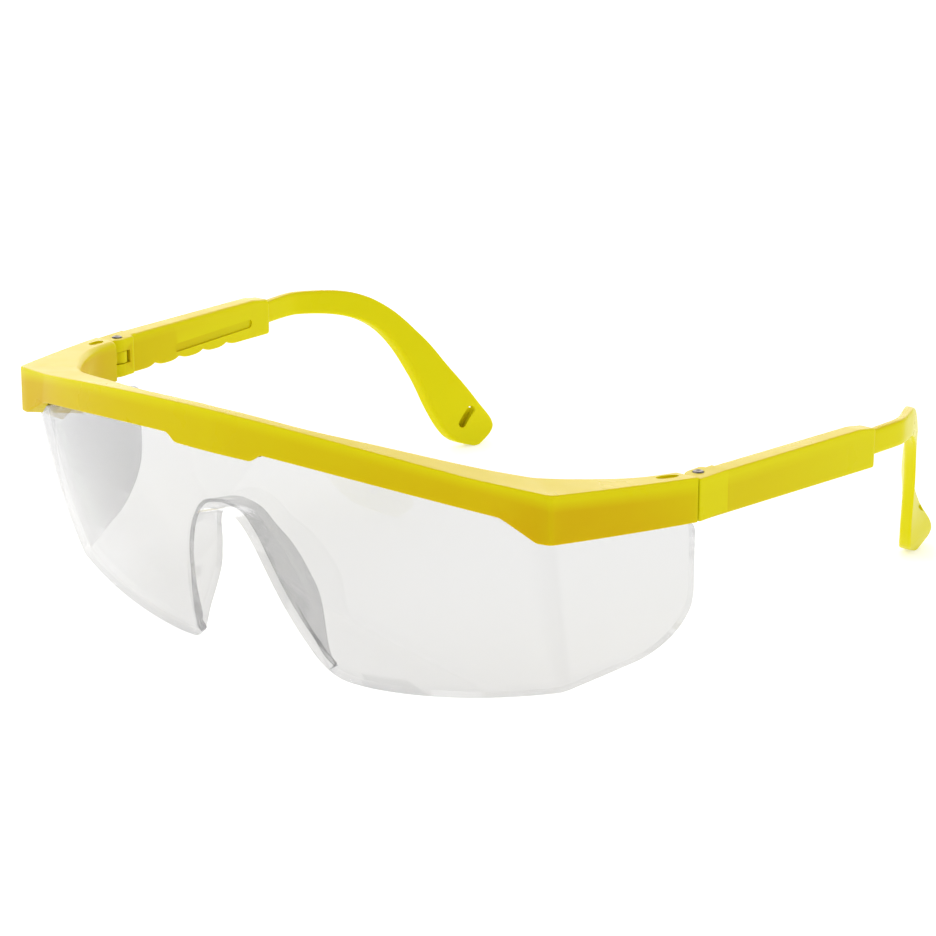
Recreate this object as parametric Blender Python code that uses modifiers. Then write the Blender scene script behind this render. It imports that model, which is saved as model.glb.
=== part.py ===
"""Safety spectacles with a one-piece wrap lens and telescoping temples.

Frame: Z = 0 is the table, X = 0 the plane of symmetry, the front faces -Y and the
origin is under the middle of the whole. Shapes are worked out in millimetres with
Y = 0 at the frame's front corners, and scaled to metres when a mesh is made.
"""
from math import cos, radians, sin, sqrt

import bmesh
import bpy
from mathutils import Matrix, Vector

MM = 0.001
GAP = 0.3                  # free space between neighbouring pieces
MIDDLE_Y = 68.97           # middle of the whole, behind the front corners

# Lens: one curved sheet with a folded-back shield at each side
LENS_THICK = 1.8
LENS_FRONT_Y = -15.3       # front surface on the centre line, upper part
LENS_BULGE_Z = 42.3        # the centre line is upright above this height
LENS_BULGE = 0.00765       # how fast the centre line curves back below it
SIDE_X = 70.0              # half width at which the side profile is given
CREASE_TOP_Z = 40.0
CREASE_LEAN = 0.1877
CREASE_CURVE = 0.00327
SHIELD_REAR = (79.7, 40.1)
SHIELD_TOP_Z = 38.2        # shield's top edge where it runs below the side arm
SHIELD_STEP = (15.0, 18.5)  # the top edge drops out of the groove between these depths
SHIELD_COLUMNS = [0.1, 0.22, 0.34, 0.355, 0.37, 0.39, 0.41, 0.425, 0.5, 0.6, 0.7, 0.8,
                  0.88, 0.94, 0.98, 1.0]
LENS_DEPTH_IN_BAR = 2.3    # from the bar's top down to the lens's top edge
NOSE_OUTLINE = [(0.0, 37.2), (4.9, 36.1), (8.2, 32.0), (10.7, 26.0), (13.1, 18.0),
                (15.4, 10.0), (17.3, 4.2), (20.5, 0.8), (27.0, 0.0)]
NOSE_WALL = 1.8

# Brow frame
ARCH = 0.0015              # z falls by ARCH * x * x away from the centre
BAR_TOP_Z = 58.6
BAR_BOTTOM_Z = 51.57
FRONT_WALL = 1.5           # bar's front face ahead of the lens
TAB_HALF = (10.1, 13.5)    # the deeper middle of the bar ends in a ramp
TAB_Z = 49.6
FACET_TOP_X = 59.4
FACET_LOW_X = (62.5, 71.2)
FACET_LOW_Z = (45.7, 41.4)
CORNER = (74.0, 0.0)
CORNER_Z = (41.1, 51.2)
SIDE_SPREAD = (0.37, -0.0014)
SIDE_FALL = (0.045, 0.066)  # bottom and top edge, per mm of depth
SIDE_END_Y = 33.5
INNER_EDGE = [(0.0, -14.0), (21.8, -12.5), (38.3, -7.5), (53.0, -0.7), (65.3, 9.0),
              (72.5, 17.6), (76.7, 25.0), (79.1, 33.5)]
INNER_SHARE = (0.575, 0.69)  # of the inner edge's length, opposite the facet's start and the corner
CHAMFER = (1.6, 0.9)       # along the inner top edge: at the bar, at the side arms
DIMPLE = (80.4, 29.0, 2.5, 0.9, 0.8, -16.0)   # x, y, half length, half width, depth, turn

# Hinge
PIN_XY = (81.9, 37.5)
PIN_RADIUS = 1.15
PIN_Z = (40.4, 48.9)
KNUCKLE_RADIUS = 2.2
KNUCKLE_WEB = (-1.6, 2.0)
KNUCKLE_Z = (42.9, 45.6)
HINGE_TURN = 4.26          # degrees by which a temple splays outwards

# Temple sleeve, in the temple's own frame: origin on the pin, +Y along it, +X outwards
SLEEVE_MID_X = 1.1
SLEEVE_HALF = (2.35, 2.2)
SLEEVE_START = -3.5
HEAD_HALF = 2.3
HEAD_END = 3.3
SLEEVE_BODY = 4.6
SLEEVE_END = 55.0
SLEEVE_BEVEL = (6.0, 0.6)
SLEEVE_TOP = (48.75, 47.1)
SLEEVE_BOTTOM = (40.1, 37.8)
EAR_GAP_Z = (42.6, 45.9)
CAVITY_HALF = 1.5
CAVITY_START = (20.5, 41.0)
CAVITY_Z = (40.8, 39.5, 45.85)
WINDOW_Y = (19.0, 48.0)
WINDOW_Z = (40.6, 42.6)
SCALLOP_PITCH = 8.8
SCALLOP_START = 12.2
SCALLOPS = 4

# Temple arm, in the same frame before it is bent inwards
TONGUE_Y = (37.0, 53.6)
TONGUE_Z = (41.1, 45.55)
ARM_HALF = (1.2, 1.65)
ARM_PLAN = [(54.6, 0.0), (64.5, 0.0), (68.5, -0.9), (74.0, -3.6), (80.0, -7.0), (86.0, -10.8),
            (93.7, -15.8), (99.0, -20.2), (104.0, -23.6), (109.5, -25.3), (116.0, -25.8)]
ARM_TOP = [(54.6, 45.55), (68.5, 45.5), (80.5, 43.9), (88.8, 39.0), (95.8, 31.0),
           (102.2, 21.0), (109.2, 12.0), (115.0, 5.6), (115.0, 2.6), (110.2, 0.15)]
ARM_LOW = [(54.6, 40.0), (67.5, 39.8), (77.5, 38.3), (84.6, 35.0), (90.0, 28.9),
           (94.6, 19.8), (97.7, 11.0), (100.3, 5.2), (103.0, 2.0), (107.8, 0.0)]
CORD_SLOT = ((105.4, 6.2), (107.9, 9.6), 0.85)

YELLOW = (0.62, 0.50, 0.006, 1.0)
CLEAR = (0.92, 0.93, 0.93, 1.0)
STEEL = (0.06, 0.05, 0.045, 1.0)


def material(name, colour, roughness, metallic=0.0, transmission=0.0):
    mat = bpy.data.materials.new(name)
    mat.use_nodes = True
    shader = mat.node_tree.nodes["Principled BSDF"]
    shader.inputs["Base Color"].default_value = colour
    shader.inputs["Roughness"].default_value = roughness
    shader.inputs["Metallic"].default_value = metallic
    shader.inputs["Transmission Weight"].default_value = transmission
    return mat


def clear_scene():
    for obj in list(bpy.data.objects):
        bpy.data.objects.remove(obj, do_unlink=True)


def collection(name):
    group = bpy.data.collections.new(name)
    bpy.context.scene.collection.children.link(group)
    return group


def mix(a, b, t):
    return a + (b - a) * t


def smoothstep(t):
    t = min(1.0, max(0.0, t))
    return t * t * (3.0 - 2.0 * t)


def smooth_path(points, per_span):
    """A Catmull-Rom curve through the points, as a list of (a, b) pairs."""
    knots = [points[0]] + list(points) + [points[-1]]
    path = []
    for i in range(1, len(knots) - 2):
        p0, p1, p2, p3 = (Vector(knots[i + k]) for k in (-1, 0, 1, 2))
        for step in range(per_span):
            t = step / per_span
            a = 2 * p1 + (p2 - p0) * t
            b = (2 * p0 - 5 * p1 + 4 * p2 - p3) * t * t
            c = (3 * p1 - p0 - 3 * p2 + p3) * t ** 3
            path.append((a + b + c) / 2)
    path.append(Vector(points[-1]))
    return path


def along(path, fraction):
    """The point at a fraction of the path's length."""
    steps = [(b - a).length for a, b in zip(path, path[1:])]
    goal = fraction * sum(steps)
    for a, b, step in zip(path, path[1:], steps):
        if goal <= step:
            return a.lerp(b, goal / step)
        goal -= step
    return path[-1]


def new_object(name, mesh, group, mat=None):
    obj = bpy.data.objects.new(name, mesh)
    group.objects.link(obj)
    obj.parent = ORIGIN
    if mat:
        mesh.materials.append(mat)
    return obj


def mesh_from(name, points, faces):
    mesh = bpy.data.meshes.new(name)
    mesh.from_pydata([Vector(p) * MM for p in points], [], faces)
    build = bmesh.new()
    build.from_mesh(mesh)
    bmesh.ops.remove_doubles(build, verts=build.verts, dist=1e-7)
    bmesh.ops.recalc_face_normals(build, faces=build.faces)
    build.to_mesh(mesh)
    build.free()
    return mesh


def loft(sections, caps=(True, True)):
    """Points and faces of a tube through closed sections of equal length."""
    count = len(sections[0])
    points = [p for section in sections for p in section]
    faces = []
    for row in range(len(sections) - 1):
        a = row * count
        b = a + count
        for i in range(count):
            j = (i + 1) % count
            faces.append((a + i, a + j, b + j, b + i))
    if caps[0]:
        faces.append(tuple(range(count)))
    if caps[1]:
        faces.append(tuple(range(len(points) - count, len(points))))
    return points, faces


def sheet(columns):
    """Points and faces of an open sheet from columns of equal length."""
    count = len(columns[0])
    points = [p for column in columns for p in column]
    faces = []
    for row in range(len(columns) - 1):
        for i in range(count - 1):
            a = row * count + i
            faces.append((a, a + 1, a + count + 1, a + count))
    return points, faces


def box_mesh(name, low, high):
    mesh = bpy.data.meshes.new(name)
    build = bmesh.new()
    bmesh.ops.create_cube(build, size=1.0)
    size = [(h - l) * MM for l, h in zip(low, high)]
    middle = [(h + l) / 2 * MM for l, h in zip(low, high)]
    bmesh.ops.scale(build, vec=size, verts=build.verts)
    bmesh.ops.translate(build, vec=middle, verts=build.verts)
    build.to_mesh(mesh)
    build.free()
    return mesh


def rod_mesh(name, radius, low, high, sides=24, at=(0.0, 0.0)):
    """An upright cylinder between two heights."""
    mesh = bpy.data.meshes.new(name)
    build = bmesh.new()
    place = Matrix.Translation((at[0] * MM, at[1] * MM, (low + high) / 2 * MM))
    bmesh.ops.create_cone(build, cap_ends=True, segments=sides, radius1=radius * MM,
                          radius2=radius * MM, depth=(high - low) * MM, matrix=place)
    build.to_mesh(mesh)
    build.free()
    return mesh


def cutter(name, mesh, like=None):
    obj = new_object(name, mesh, CUTTERS)
    obj.hide_render = True
    obj.display_type = "WIRE"
    if like:
        obj.parent = like.parent
    return obj


def boolean(obj, other, operation):
    mod = obj.modifiers.new(operation.title() + "_" + other.name, "BOOLEAN")
    mod.operation = operation
    mod.solver = "EXACT"
    mod.object = other


def mirror_mesh(mesh, name):
    copy = mesh.copy()
    copy.name = name
    build = bmesh.new()
    build.from_mesh(copy)
    bmesh.ops.scale(build, vec=(-1.0, 1.0, 1.0), verts=build.verts)
    bmesh.ops.reverse_faces(build, faces=build.faces)
    build.to_mesh(copy)
    build.free()
    return copy


# Lens surface -----------------------------------------------------------------

def centre_y(z):
    return LENS_FRONT_Y + LENS_BULGE * max(0.0, LENS_BULGE_Z - z) ** 2


def side_y(z):
    drop = CREASE_TOP_Z - z
    return 2.34 + CREASE_LEAN * drop + CREASE_CURVE * drop * abs(drop)


def lens_y(x, z):
    """Depth of the lens's front surface."""
    return centre_y(z) + (x / SIDE_X) ** 2 * (side_y(z) - centre_y(z))


def crease_x(z):
    return 71.4 - 0.0019 * max(0.0, 44.0 - z) ** 2 + 0.0006 * max(0.0, 20.0 - z) ** 2


def shield_point(t, z):
    """A point of the side shield: t runs from the crease to its rear edge."""
    x = crease_x(z)
    return (mix(x, SHIELD_REAR[0], t), mix(lens_y(x, z), SHIELD_REAR[1], t), z)


def arch_z(x):
    return BAR_TOP_Z - ARCH * x * x


def bar_top(x):
    """Height of the frame's top edge at the front."""
    if x <= FACET_TOP_X:
        return arch_z(x)
    t = (x - FACET_TOP_X) / (CORNER[0] - FACET_TOP_X)
    return mix(arch_z(FACET_TOP_X), CORNER_Z[1], t)


def lens_bottom(x):
    return 6.3 * (max(0.0, x - 27.0) / 42.2) ** 1.8


def shield_bottom(t):
    curl = max(0.0, (t - 0.55) / 0.45)
    return 6.3 + 6.2 * t + 9.5 * (1.0 - sqrt(max(0.0, 1.0 - curl * curl)))


def shield_top(t, margin):
    """Top edge of the shield: in the groove at first, then below the side arm."""
    y = mix(2.0, SHIELD_REAR[1], t)
    inside = bar_top(CORNER[0]) - SIDE_FALL[1] * y - LENS_DEPTH_IN_BAR + margin
    drop = smoothstep((y - SHIELD_STEP[0]) / (SHIELD_STEP[1] - SHIELD_STEP[0]))
    return mix(inside, SHIELD_TOP_Z, drop)


def column(point_at, low, high, rows):
    return [point_at(mix(low, high, i / rows)) for i in range(rows + 1)]


def lens_columns(rows=10):
    """Half of the lens's front surface, from the nose to the rear of the shield."""
    columns = []
    for x, z in smooth_path(NOSE_OUTLINE, 2)[:-1]:
        lift = 0.5 * NOSE_WALL if x < 18.0 else 0.0
        x_low = x + (0.35 * NOSE_WALL if 3.0 < x < 20.0 else 0.0)
        columns.append(column(lambda h: (x_low, lens_y(x_low, h), h), z + lift,
                              bar_top(x_low) - LENS_DEPTH_IN_BAR, rows))
    for step in range(9):
        x = mix(27.0, 66.0, step / 8)
        columns.append(column(lambda h: (x, lens_y(x, h), h), lens_bottom(x),
                              bar_top(x) - LENS_DEPTH_IN_BAR, rows))
    top = shield_top(0.0, 0.0)
    columns.append(column(lambda h: shield_point(0.0, h), 6.3, top, rows))
    for t in SHIELD_COLUMNS:
        columns.append(column(lambda h: shield_point(t, h), shield_bottom(t),
                              shield_top(t, 0.0), rows))
    return columns


def solidify(obj, thickness, offset):
    mod = obj.modifiers.new("Thickness", "SOLIDIFY")
    mod.thickness = thickness * MM
    mod.offset = offset
    mod.use_even_offset = True
    return mod


def mirror(obj):
    mod = obj.modifiers.new("Mirror", "MIRROR")
    mod.use_clip = True
    mod.merge_threshold = 1e-5
    return mod


def facing_front(mesh):
    """Turns a sheet's faces so that they look towards -Y."""
    build = bmesh.new()
    build.from_mesh(mesh)
    build.faces.ensure_lookup_table()
    if sum(face.normal.y * face.calc_area() for face in build.faces) > 0:
        bmesh.ops.reverse_faces(build, faces=build.faces)
    build.to_mesh(mesh)
    build.free()
    return mesh


def nose_depth(z):
    """How far back the nose flange reaches, at a height."""
    return 0.8 + 9.5 * smoothstep(z / 18.0) - 3.2 * smoothstep((z - 26.0) / 12.0)


def nose_flange():
    columns = []
    for x, z in smooth_path(NOSE_OUTLINE[:-1], 4)[:-2]:
        front = lens_y(x, z) - 0.15
        depth = nose_depth(z)
        taper = 0.08 * x * smoothstep((z - 14.0) / 20.0)
        columns.append([(x - taper * k / 3, front + depth * k / 3, z - 0.35 * k * (z > 30))
                        for k in range(4)])
    return columns


def make_lens():
    mesh = facing_front(mesh_from("lens_sheet", *sheet(lens_columns())))
    lens = new_object("lens", mesh, PARTS, CLEAR_MAT)
    mirror(lens)
    solidify(lens, LENS_THICK, -1.0)
    flange = mesh_from("nose_flange_sheet", *sheet(nose_flange()))
    inner = cutter("nose_flange_shape", flange)
    mirror(inner)
    solidify(inner, NOSE_WALL, 1.0)
    boolean(lens, inner, "UNION")
    return lens


# Brow frame -------------------------------------------------------------------

def bar_bottom(x):
    t = (x - TAB_HALF[0]) / (TAB_HALF[1] - TAB_HALF[0])
    edge = BAR_BOTTOM_Z - ARCH * x * x
    return mix(TAB_Z, edge, min(1.0, max(0.0, t)))


def facet_y(x):
    start = lens_y(FACET_TOP_X, arch_z(FACET_TOP_X)) - FRONT_WALL
    return mix(start, CORNER[1], (x - FACET_TOP_X) / (CORNER[0] - FACET_TOP_X))


def front_station(x):
    slant = (FACET_LOW_X[0] - FACET_TOP_X) * (x / FACET_TOP_X) ** 6
    low = x + slant
    z_low = bar_bottom(low)
    z_top = arch_z(x)
    return ((low, lens_y(low, z_low) - FRONT_WALL, z_low),
            (x, lens_y(x, z_top) - FRONT_WALL, z_top))


def facet_station(t):
    """t = 0.75 is the lower end of the slanting edge, t = 1 the corner."""
    top = mix(FACET_TOP_X, CORNER[0], t)
    if t <= 0.75:
        low = mix(*FACET_LOW_X, t / 0.75)
        z_low = mix(*FACET_LOW_Z, t / 0.75)
    else:
        low = CORNER[0]
        z_low = CORNER_Z[0]
    return ((low, facet_y(low), z_low), (top, facet_y(top), bar_top(top)))


def side_x(y):
    return CORNER[0] + SIDE_SPREAD[0] * y + SIDE_SPREAD[1] * y * y


def side_station(y):
    x = side_x(y)
    return ((x, y, CORNER_Z[0] - SIDE_FALL[0] * y), (x, y, CORNER_Z[1] - SIDE_FALL[1] * y))


def frame_section(outer, inner, chamfer):
    """Closed section: outer face, flat top, chamfer, inner face."""
    low, top = outer
    inward = (Vector(inner) - Vector(top[:2])).normalized()
    wall = Vector(inner) + inward * chamfer
    return [low, top, (inner[0], inner[1], top[2]), (wall.x, wall.y, top[2] - chamfer),
            (wall.x, wall.y, low[2])]


def frame_sections():
    edge = smooth_path(INNER_EDGE, 6)
    stations = []
    fronts = [0.0, 5.0, TAB_HALF[0], TAB_HALF[1]] + [mix(19.0, FACET_TOP_X, i / 8) for i in range(9)]
    for x in fronts:
        stations.append((front_station(x), INNER_SHARE[0] * x / FACET_TOP_X))
    for t in (0.375, 0.75, 1.0):
        stations.append((facet_station(t), mix(*INNER_SHARE, t)))
    for i in range(1, 9):
        stations.append((side_station(SIDE_END_Y * i / 8), mix(INNER_SHARE[1], 1.0, i / 8)))
    sections = []
    for outer, fraction in stations:
        inner = along(edge, fraction)
        if fraction == 0.0:
            inner = Vector(INNER_EDGE[0])
        sections.append(frame_section(outer, inner, mix(*CHAMFER, smoothstep(fraction))))
    for k, point in enumerate(sections[0]):
        sections[0][k] = (0.0, point[1], point[2])
    return sections


def groove_columns():
    """A sheet along the lens, longer than it at the top by the free gap."""
    columns = []
    for x in [0.0] + [mix(6.0, 66.0, i / 10) for i in range(11)]:
        columns.append(column(lambda h: (x, lens_y(x, h), h), 36.0,
                              bar_top(x) - LENS_DEPTH_IN_BAR + GAP, 4))
    for t in (0.0, 0.1, 0.22, 0.34, 0.46):
        top = bar_top(CORNER[0]) - SIDE_FALL[1] * mix(2.0, SHIELD_REAR[1], min(t, 0.34))
        columns.append(column(lambda h: shield_point(t, h), 36.0,
                              top - LENS_DEPTH_IN_BAR + GAP, 4))
    return columns


def dimple(side, name):
    """A shallow oval pocket in the side arm's top, just ahead of the hinge."""
    x, y, length, width, depth, turn = DIMPLE
    top = CORNER_Z[1] - SIDE_FALL[1] * y
    pocket = cutter("dimple_" + name, rod_mesh("dimple", 1.0, -depth, 2.0))
    pocket.location = (side * x * MM, y * MM, top * MM)
    pocket.scale = (width, length, 1.0)
    pocket.rotation_euler = (0.0, 0.0, side * radians(turn))
    return pocket


def make_frame():
    mesh = mesh_from("brow_frame_half", *loft(frame_sections(), caps=(False, True)))
    frame = new_object("brow_frame", mesh, PARTS, YELLOW_MAT)
    mirror(frame)
    groove = cutter("lens_groove", facing_front(mesh_from("groove_sheet", *sheet(groove_columns()))))
    mirror(groove)
    solidify(groove, LENS_THICK + 2 * GAP, -LENS_THICK / (LENS_THICK + 2 * GAP))
    boolean(frame, groove, "DIFFERENCE")
    for side, name in ((1, "right"), (-1, "left")):
        pin = (side * PIN_XY[0], PIN_XY[1])
        low, high = sorted(pin[0] + side * edge for edge in KNUCKLE_WEB)
        web = cutter("knuckle_web_" + name, box_mesh("knuckle_web", (low, SIDE_END_Y - 1.0, KNUCKLE_Z[0]),
                                                     (high, pin[1], KNUCKLE_Z[1])))
        boss = cutter("knuckle_boss_" + name, rod_mesh("knuckle_boss", KNUCKLE_RADIUS, *KNUCKLE_Z, at=pin))
        bore = cutter("pin_bore_" + name, rod_mesh("pin_bore", PIN_RADIUS + GAP, KNUCKLE_Z[0] - 1.0,
                                                   KNUCKLE_Z[1] + 1.0, at=pin))
        boolean(frame, web, "UNION")
        boolean(frame, boss, "UNION")
        boolean(frame, bore, "DIFFERENCE")
        boolean(frame, dimple(side, name), "DIFFERENCE")
    return frame


# Temples ----------------------------------------------------------------------

def sleeve_section(y, half, top, bottom, edge=0.5):
    """Chamfered rectangle across the sleeve."""
    left = SLEEVE_MID_X - half
    right = SLEEVE_MID_X + half
    return [(left, y, bottom + edge), (left, y, top - edge), (left + edge, y, top),
            (right - edge, y, top), (right, y, top - edge), (right, y, bottom + edge),
            (right - edge, y, bottom), (left + edge, y, bottom)]


def sleeve_levels(y):
    t = (y - SLEEVE_START) / (SLEEVE_END - SLEEVE_START)
    return mix(*SLEEVE_TOP, t), mix(*SLEEVE_BOTTOM, t)


def sleeve_body():
    sections = []
    for y in (0.0, SLEEVE_BODY, 14.0, 26.0, SLEEVE_END - SLEEVE_BEVEL[0], SLEEVE_END):
        top, bottom = sleeve_levels(y)
        half = mix(*SLEEVE_HALF, y / SLEEVE_END)
        if y == SLEEVE_END:
            top -= SLEEVE_BEVEL[1]
        sections.append(sleeve_section(y, half, top, bottom))
    return loft(sections)


def ear_outline():
    """Plan of the hinge head: rounded at its inner front, straight at the outside."""
    right = SLEEVE_MID_X + SLEEVE_HALF[0]
    points = [(right, SLEEVE_BODY + 0.5), (right, SLEEVE_START)]
    for i in range(9):
        angle = radians(mix(270.0, 180.0, i / 8))
        points.append((HEAD_HALF * cos(angle), -SLEEVE_START * sin(angle)))
    points.append((-HEAD_HALF, HEAD_END))
    points.append((SLEEVE_MID_X - SLEEVE_HALF[0] + 0.15, HEAD_END + 0.5))
    points.append((SLEEVE_MID_X - SLEEVE_HALF[0] + 0.15, SLEEVE_BODY + 0.5))
    return points


def hinge_block():
    top, bottom = sleeve_levels(0.0)
    outline = ear_outline()
    return loft([[(x, y, z) for x, y in outline] for z in (bottom, top)])


def for_side(mesh, side, name):
    return mesh if side > 0 else mirror_mesh(mesh, name)


def scallop_shapes():
    """Wedges that bite the inner half of the sleeve's lower edge into rounded lobes."""
    shapes = []
    for i in range(SCALLOPS):
        y = SCALLOP_START + i * SCALLOP_PITCH
        bottom = sleeve_levels(y)[1]
        profile = []
        for k in range(9):
            t = k / 8
            profile.append((y - 0.5 + 3.4 * t, bottom + 0.75 * (1.0 - t) ** 2))
        profile.append((y + 2.9, bottom - 2.0))
        profile.append((y - 0.5, bottom - 2.0))
        sections = [[(x, a, b) for a, b in profile] for x in (-4.0, SLEEVE_MID_X)]
        shapes.append(("scallop_%d" % (i + 1), loft(sections)))
    return shapes


def make_sleeve(side, name, hinge):
    mesh = for_side(mesh_from("temple_sleeve", *sleeve_body()), side, "temple_sleeve_" + name)
    sleeve = new_object("temple_sleeve_" + name, mesh, PARTS, YELLOW_MAT)
    sleeve.parent = hinge
    block = for_side(mesh_from("hinge_block", *hinge_block()), side, "hinge_block_" + name)
    boolean(sleeve, cutter("hinge_block_" + name, block, sleeve), "UNION")
    cuts = [("ear_slot", box_mesh("ear_slot", (-6.0, -6.0, EAR_GAP_Z[0]),
                                  (KNUCKLE_RADIUS + 0.35, KNUCKLE_RADIUS + GAP, EAR_GAP_Z[1])))]
    cuts.append(("pin_hole", rod_mesh("pin_hole", PIN_RADIUS + GAP, 35.0, 55.0)))
    low = SLEEVE_MID_X - CAVITY_HALF
    high = SLEEVE_MID_X + CAVITY_HALF
    cuts.append(("tongue_room", box_mesh("tongue_room", (low, CAVITY_START[0], CAVITY_Z[0]),
                                         (high, SLEEVE_END + 5.0, CAVITY_Z[2]))))
    cuts.append(("mouth_room", box_mesh("mouth_room", (low, CAVITY_START[1], CAVITY_Z[1]),
                                        (high, SLEEVE_END + 5.0, CAVITY_Z[2] - 1.0))))
    cuts.append(("side_window", box_mesh("side_window", (-8.0, WINDOW_Y[0], WINDOW_Z[0]),
                                         (SLEEVE_MID_X, WINDOW_Y[1], WINDOW_Z[1]))))
    for label, shape in scallop_shapes():
        cuts.append((label, mesh_from(label, *shape)))
    for label, shape in cuts:
        tool = cutter(label + "_" + name, for_side(shape, side, label + "_" + name), sleeve)
        boolean(sleeve, tool, "DIFFERENCE")
    return sleeve


def bend(y):
    """Sideways shift of the arm's middle, towards the head."""
    for (y0, shift0), (y1, shift1) in zip(ARM_BEND, ARM_BEND[1:]):
        if y <= y1:
            return mix(shift0, shift1, max(0.0, (y - y0) / (y1 - y0)))
    return ARM_PLAN[-1][1]


def arm_section(top, low, half):
    """Chamfered section between a point of the upper and one of the lower edge."""
    across = [(-half, 0.09), (-half, 0.91), (-half * 0.55, 1.0), (half * 0.55, 1.0),
              (half, 0.91), (half, 0.09), (half * 0.55, 0.0), (-half * 0.55, 0.0)]
    section = []
    for x, t in across:
        y = mix(low[0], top[0], t)
        z = mix(low[1], top[1], t)
        section.append((SLEEVE_MID_X + x + bend(y), y, z))
    return section


def arm_mesh():
    tops = smooth_path(ARM_TOP, 4)
    lows = smooth_path(ARM_LOW, 4)
    sections = []
    for y in TONGUE_Y:
        end = (y, TONGUE_Z[1]), (y, TONGUE_Z[0])
        sections.append(arm_section(*end, ARM_HALF[0]))
    for top, low in zip(tops, lows):
        growth = smoothstep((top[0] - ARM_PLAN[1][0]) / 30.0)
        sections.append(arm_section(top, low, mix(*ARM_HALF, growth)))
    return mesh_from("temple_arm", *loft(sections))


def cord_slot():
    """A rounded slot through the tip of the ear hook."""
    (y0, z0), (y1, z1), radius = CORD_SLOT
    way = Vector((y1 - y0, z1 - z0)).normalized()
    across = Vector((-way.y, way.x))
    outline = []
    for centre, start in ((Vector((y0, z0)), 90.0), (Vector((y1, z1)), -90.0)):
        for i in range(7):
            angle = radians(start + 30.0 * i)
            outline.append(centre + radius * (cos(angle) * way + sin(angle) * across))
    middle = SLEEVE_MID_X + bend((y0 + y1) / 2)
    return loft([[(middle + x, p.x, p.y) for p in outline] for x in (-6.0, 6.0)])


def make_arm(side, name, hinge):
    arm = new_object("temple_arm_" + name, for_side(arm_mesh(), side, "temple_arm_" + name),
                     PARTS, YELLOW_MAT)
    arm.parent = hinge
    slot = for_side(mesh_from("cord_slot", *cord_slot()), side, "cord_slot_" + name)
    boolean(arm, cutter("cord_slot_" + name, slot, arm), "DIFFERENCE")
    return arm


def make_temple(side, name):
    hinge = bpy.data.objects.new("hinge_axis_" + name, None)
    PARTS.objects.link(hinge)
    hinge.parent = ORIGIN
    hinge.location = (side * PIN_XY[0] * MM, PIN_XY[1] * MM, 0.0)
    hinge.rotation_euler = (0.0, 0.0, -side * radians(HINGE_TURN))
    make_sleeve(side, name, hinge)
    make_arm(side, name, hinge)
    pin = new_object("hinge_pin_" + name, rod_mesh("hinge_pin", PIN_RADIUS, *PIN_Z), PARTS, STEEL_MAT)
    pin.location = hinge.location


clear_scene()
PARTS = collection("safety_glasses")
CUTTERS = collection("cutters")
ORIGIN = bpy.data.objects.new("front_corners", None)
ORIGIN.location = (0.0, -MIDDLE_Y * MM, 0.0)
PARTS.objects.link(ORIGIN)
ARM_BEND = smooth_path(ARM_PLAN, 4)
YELLOW_MAT = material("yellow_nylon", YELLOW, 0.35)
CLEAR_MAT = material("clear_polycarbonate", CLEAR, 0.05, transmission=1.0)
STEEL_MAT = material("dark_steel", STEEL, 0.4, metallic=1.0)
make_frame()
make_lens()
make_temple(1, "right")
make_temple(-1, "left")
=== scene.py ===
"""Looks of the safety glasses: finely shaped pieces, materials, floor, light and camera.

Shapes are worked out in millimetres in the glasses' own frame: X = 0 is the plane of
symmetry, Y = 0 is at the two front corners, Z = 0 is the table and the front faces -Y.
"""

from math import cos, pi, radians, sin, sqrt

import bmesh
import bpy
from mathutils import Matrix, Vector

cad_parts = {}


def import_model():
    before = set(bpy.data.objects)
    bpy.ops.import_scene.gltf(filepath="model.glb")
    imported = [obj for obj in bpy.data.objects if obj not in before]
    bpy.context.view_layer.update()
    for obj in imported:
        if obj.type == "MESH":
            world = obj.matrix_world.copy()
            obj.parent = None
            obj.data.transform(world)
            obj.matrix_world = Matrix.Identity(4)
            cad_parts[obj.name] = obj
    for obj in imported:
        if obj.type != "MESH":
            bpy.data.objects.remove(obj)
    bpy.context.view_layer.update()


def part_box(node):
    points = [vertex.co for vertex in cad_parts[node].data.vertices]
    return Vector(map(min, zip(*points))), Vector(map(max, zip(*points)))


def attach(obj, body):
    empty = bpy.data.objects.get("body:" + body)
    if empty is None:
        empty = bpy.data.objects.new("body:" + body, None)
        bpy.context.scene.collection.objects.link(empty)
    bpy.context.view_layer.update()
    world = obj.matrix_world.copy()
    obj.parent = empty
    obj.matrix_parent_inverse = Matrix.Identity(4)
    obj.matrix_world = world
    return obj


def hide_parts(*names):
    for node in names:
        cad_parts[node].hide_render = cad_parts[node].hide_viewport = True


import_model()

MM = 0.001
GAP = 0.3                  # free space between neighbouring pieces

# Hinge pins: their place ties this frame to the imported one
PIN_XY = (81.9, 37.5)
PIN_RADIUS = 1.15
PIN_LOW, PIN_HIGH = (corner.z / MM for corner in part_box("hinge_pin_right"))
MIDDLE_Y = PIN_XY[1] - sum(corner.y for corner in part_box("hinge_pin_right")) / 2 / MM

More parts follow.
